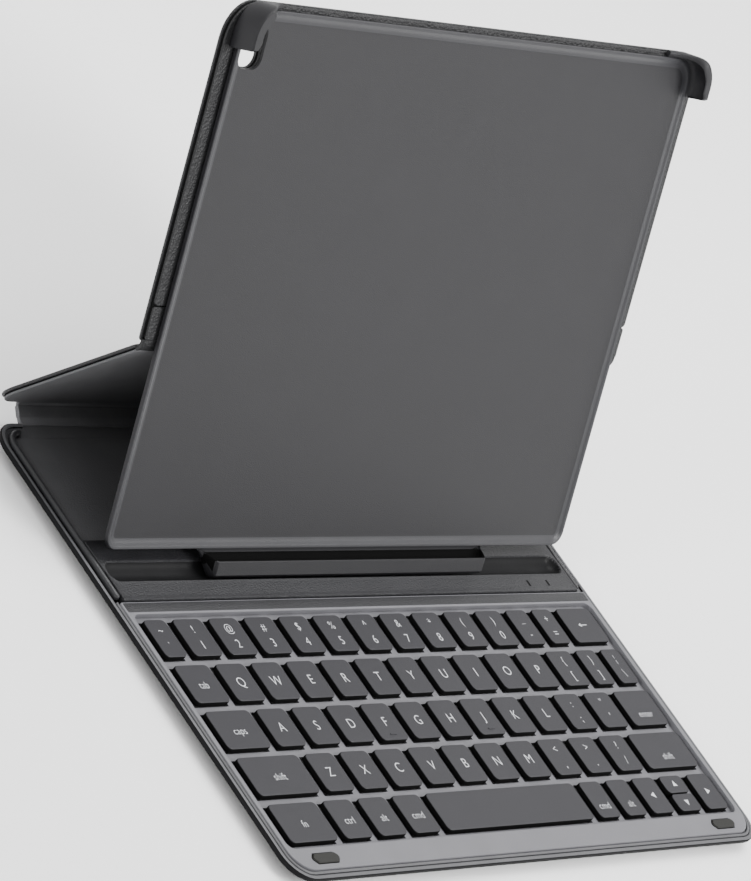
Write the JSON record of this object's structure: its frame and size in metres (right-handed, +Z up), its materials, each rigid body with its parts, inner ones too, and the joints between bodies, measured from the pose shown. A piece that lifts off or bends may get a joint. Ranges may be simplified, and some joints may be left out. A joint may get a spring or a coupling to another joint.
{
  "type": "tablet keyboard case",
  "caption": "Folding tablet case with a slim keyboard base, a leaning moulded tray with corner clips, and a back cover that folds into a stand.",
  "frame": {"origin": "middle of the flat underside of the keyboard base", "axes": "+X to the typist's right along the keyboard, +Y away from the typist, +Z up"},
  "size_m": [0.2606, 0.2164, 0.1639],
  "materials": {
    "leather": "dark grey synthetic leather, fine random grain, pressed edges",
    "platform_leather": "synthetic leather with a slanting fine grain, semi-matte",
    "spine_leather": "smooth flexible synthetic leather, slight sheen on the bends",
    "lining": "smooth soft-touch lining, very fine nap",
    "board": "dark stiffening board seen only in the edge grooves",
    "deck": "moulded frame painted metallic grey, fine satin speckle",
    "keycap": "matte moulded keycaps, white printed letters, black sides",
    "tray": "matte moulded tray, very fine spark texture",
    "rubber": "matte rubber bumper",
    "membrane": "translucent key membrane",
    "cell": "foil pouch cell",
    "circuit": "solder-masked circuit board",
    "steel": "plain pressed steel",
    "lens": "smoked clear plastic window"
  },
  "bodies": {
    "base": {"base_cover": "leather", "base_board": "steel", "key_membrane": "membrane", "keyboard_frame": "deck", "screen_bumper_left": "rubber", "screen_bumper_right": "rubber", "platform": "platform_leather", "indicator_light_guide": "lens", "dock_magnet": "steel", "rear_lining": "lining", "side_piping_left": "leather", "side_piping_right": "leather", "battery": "cell", "circuit_board": "circuit", "charging_socket": "steel"},
    "spine": {"spine_strip": "spine_leather"},
    "flap": {"flap_cover": "leather", "flap_board": "board", "flap_lining": "lining"},
    "upper": {"upper_cover": "leather", "upper_board": "board", "upper_lining": "leather", "fold_strip": "leather", "tablet_tray": "tray"},
    "number_row_keys_body": {"number_row_keys": "keycap"},
    "tab_key_body": {"tab_key": "keycap"},
    "bracket_keys_body": {"bracket_keys": "keycap"},
    "caps_key_body": {"caps_key": "keycap"},
    "enter_keys_body": {"enter_keys": "keycap"},
    "left_shift_key_body": {"left_shift_key": "keycap"},
    "right_shift_keys_body": {"right_shift_keys": "keycap"},
    "modifier_keys_body": {"modifier_keys": "keycap"},
    "space_bar_body": {"space_bar": "keycap"},
    "arrow_keys_body": {"arrow_keys": "keycap"},
    "key_a_body": {"key_a": "keycap"},
    "key_b_body": {"key_b": "keycap"},
    "key_c_body": {"key_c": "keycap"},
    "key_d_body": {"key_d": "keycap"},
    "key_e_body": {"key_e": "keycap"},
    "key_f_body": {"key_f": "keycap"},
    "key_g_body": {"key_g": "keycap"},
    "key_h_body": {"key_h": "keycap"},
    "key_i_body": {"key_i": "keycap"},
    "key_j_body": {"key_j": "keycap"},
    "key_k_body": {"key_k": "keycap"},
    "key_l_body": {"key_l": "keycap"},
    "key_m_body": {"key_m": "keycap"},
    "key_n_body": {"key_n": "keycap"},
    "key_o_body": {"key_o": "keycap"},
    "key_p_body": {"key_p": "keycap"},
    "key_q_body": {"key_q": "keycap"},
    "key_r_body": {"key_r": "keycap"},
    "key_s_body": {"key_s": "keycap"},
    "key_t_body": {"key_t": "keycap"},
    "key_u_body": {"key_u": "keycap"},
    "key_v_body": {"key_v": "keycap"},
    "key_w_body": {"key_w": "keycap"},
    "key_x_body": {"key_x": "keycap"},
    "key_y_body": {"key_y": "keycap"},
    "key_z_body": {"key_z": "keycap"}
  },
  "joints": [
    {"name": "base_fold", "type": "hinge", "parent": "base", "child": "spine", "pos_m": [0, 0.0914, 0.0039], "axis": [1, 0, 0], "range_deg": [-33, 0]},
    {"name": "flap_fold", "type": "hinge", "parent": "spine", "child": "flap", "pos_m": [0, 0.0971, 0.0076], "axis": [1, 0, 0], "range_deg": [-83.4, 0]},
    {"name": "tray_fold", "type": "hinge", "parent": "flap", "child": "upper", "pos_m": [0, 0.0692, 0.0637], "axis": [1, 0, 0], "range_deg": [0, 56.8]},
    {"name": "number_row_keys_press", "type": "slide", "parent": "base", "child": "number_row_keys_body", "axis": [0, 0, 1], "range_m": [-0.0013, 0], "stiffness_N_per_m": 400},
    {"name": "tab_key_press", "type": "slide", "parent": "base", "child": "tab_key_body", "axis": [0, 0, 1], "range_m": [-0.0013, 0], "stiffness_N_per_m": 400},
    {"name": "bracket_keys_press", "type": "slide", "parent": "base", "child": "bracket_keys_body", "axis": [0, 0, 1], "range_m": [-0.0013, 0], "stiffness_N_per_m": 400},
    {"name": "caps_key_press", "type": "slide", "parent": "base", "child": "caps_key_body", "axis": [0, 0, 1], "range_m": [-0.0013, 0], "stiffness_N_per_m": 400},
    {"name": "enter_keys_press", "type": "slide", "parent": "base", "child": "enter_keys_body", "axis": [0, 0, 1], "range_m": [-0.0013, 0], "stiffness_N_per_m": 400},
    {"name": "left_shift_key_press", "type": "slide", "parent": "base", "child": "left_shift_key_body", "axis": [0, 0, 1], "range_m": [-0.0013, 0], "stiffness_N_per_m": 400},
    {"name": "right_shift_keys_press", "type": "slide", "parent": "base", "child": "right_shift_keys_body", "axis": [0, 0, 1], "range_m": [-0.0013, 0], "stiffness_N_per_m": 400},
    {"name": "modifier_keys_press", "type": "slide", "parent": "base", "child": "modifier_keys_body", "axis": [0, 0, 1], "range_m": [-0.0013, 0], "stiffness_N_per_m": 400},
    {"name": "space_bar_press", "type": "slide", "parent": "base", "child": "space_bar_body", "axis": [0, 0, 1], "range_m": [-0.0013, 0], "stiffness_N_per_m": 400},
    {"name": "arrow_keys_press", "type": "slide", "parent": "base", "child": "arrow_keys_body", "axis": [0, 0, 1], "range_m": [-0.0013, 0], "stiffness_N_per_m": 400},
    {"name": "key_a_press", "type": "slide", "parent": "base", "child": "key_a_body", "axis": [0, 0, 1], "range_m": [-0.0013, 0], "stiffness_N_per_m": 400},
    {"name": "key_b_press", "type": "slide", "parent": "base", "child": "key_b_body", "axis": [0, 0, 1], "range_m": [-0.0013, 0], "stiffness_N_per_m": 400},
    {"name": "key_c_press", "type": "slide", "parent": "base", "child": "key_c_body", "axis": [0, 0, 1], "range_m": [-0.0013, 0], "stiffness_N_per_m": 400},
    {"name": "key_d_press", "type": "slide", "parent": "base", "child": "key_d_body", "axis": [0, 0, 1], "range_m": [-0.0013, 0], "stiffness_N_per_m": 400},
    {"name": "key_e_press", "type": "slide", "parent": "base", "child": "key_e_body", "axis": [0, 0, 1], "range_m": [-0.0013, 0], "stiffness_N_per_m": 400},
    {"name": "key_f_press", "type": "slide", "parent": "base", "child": "key_f_body", "axis": [0, 0, 1], "range_m": [-0.0013, 0], "stiffness_N_per_m": 400},
    {"name": "key_g_press", "type": "slide", "parent": "base", "child": "key_g_body", "axis": [0, 0, 1], "range_m": [-0.0013, 0], "stiffness_N_per_m": 400},
    {"name": "key_h_press", "type": "slide", "parent": "base", "child": "key_h_body", "axis": [0, 0, 1], "range_m": [-0.0013, 0], "stiffness_N_per_m": 400},
    {"name": "key_i_press", "type": "slide", "parent": "base", "child": "key_i_body", "axis": [0, 0, 1], "range_m": [-0.0013, 0], "stiffness_N_per_m": 400},
    {"name": "key_j_press", "type": "slide", "parent": "base", "child": "key_j_body", "axis": [0, 0, 1], "range_m": [-0.0013, 0], "stiffness_N_per_m": 400},
    {"name": "key_k_press", "type": "slide", "parent": "base", "child": "key_k_body", "axis": [0, 0, 1], "range_m": [-0.0013, 0], "stiffness_N_per_m": 400},
    {"name": "key_l_press", "type": "slide", "parent": "base", "child": "key_l_body", "axis": [0, 0, 1], "range_m": [-0.0013, 0], "stiffness_N_per_m": 400},
    {"name": "key_m_press", "type": "slide", "parent": "base", "child": "key_m_body", "axis": [0, 0, 1], "range_m": [-0.0013, 0], "stiffness_N_per_m": 400},
    {"name": "key_n_press", "type": "slide", "parent": "base", "child": "key_n_body", "axis": [0, 0, 1], "range_m": [-0.0013, 0], "stiffness_N_per_m": 400},
    {"name": "key_o_press", "type": "slide", "parent": "base", "child": "key_o_body", "axis": [0, 0, 1], "range_m": [-0.0013, 0], "stiffness_N_per_m": 400},
    {"name": "key_p_press", "type": "slide", "parent": "base", "child": "key_p_body", "axis": [0, 0, 1], "range_m": [-0.0013, 0], "stiffness_N_per_m": 400},
    {"name": "key_q_press", "type": "slide", "parent": "base", "child": "key_q_body", "axis": [0, 0, 1], "range_m": [-0.0013, 0], "stiffness_N_per_m": 400},
    {"name": "key_r_press", "type": "slide", "parent": "base", "child": "key_r_body", "axis": [0, 0, 1], "range_m": [-0.0013, 0], "stiffness_N_per_m": 400},
    {"name": "key_s_press", "type": "slide", "parent": "base", "child": "key_s_body", "axis": [0, 0, 1], "range_m": [-0.0013, 0], "stiffness_N_per_m": 400},
    {"name": "key_t_press", "type": "slide", "parent": "base", "child": "key_t_body", "axis": [0, 0, 1], "range_m": [-0.0013, 0], "stiffness_N_per_m": 400},
    {"name": "key_u_press", "type": "slide", "parent": "base", "child": "key_u_body", "axis": [0, 0, 1], "range_m": [-0.0013, 0], "stiffness_N_per_m": 400},
    {"name": "key_v_press", "type": "slide", "parent": "base", "child": "key_v_body", "axis": [0, 0, 1], "range_m": [-0.0013, 0], "stiffness_N_per_m": 400},
    {"name": "key_w_press", "type": "slide", "parent": "base", "child": "key_w_body", "axis": [0, 0, 1], "range_m": [-0.0013, 0], "stiffness_N_per_m": 400},
    {"name": "key_x_press", "type": "slide", "parent": "base", "child": "key_x_body", "axis": [0, 0, 1], "range_m": [-0.0013, 0], "stiffness_N_per_m": 400},
    {"name": "key_y_press", "type": "slide", "parent": "base", "child": "key_y_body", "axis": [0, 0, 1], "range_m": [-0.0013, 0], "stiffness_N_per_m": 400},
    {"name": "key_z_press", "type": "slide", "parent": "base", "child": "key_z_body", "axis": [0, 0, 1], "range_m": [-0.0013, 0], "stiffness_N_per_m": 400}
  ],
  "couplings": [
    {"joint": "tray_fold", "follows": "flap_fold", "ratio": -0.681}
  ]
}
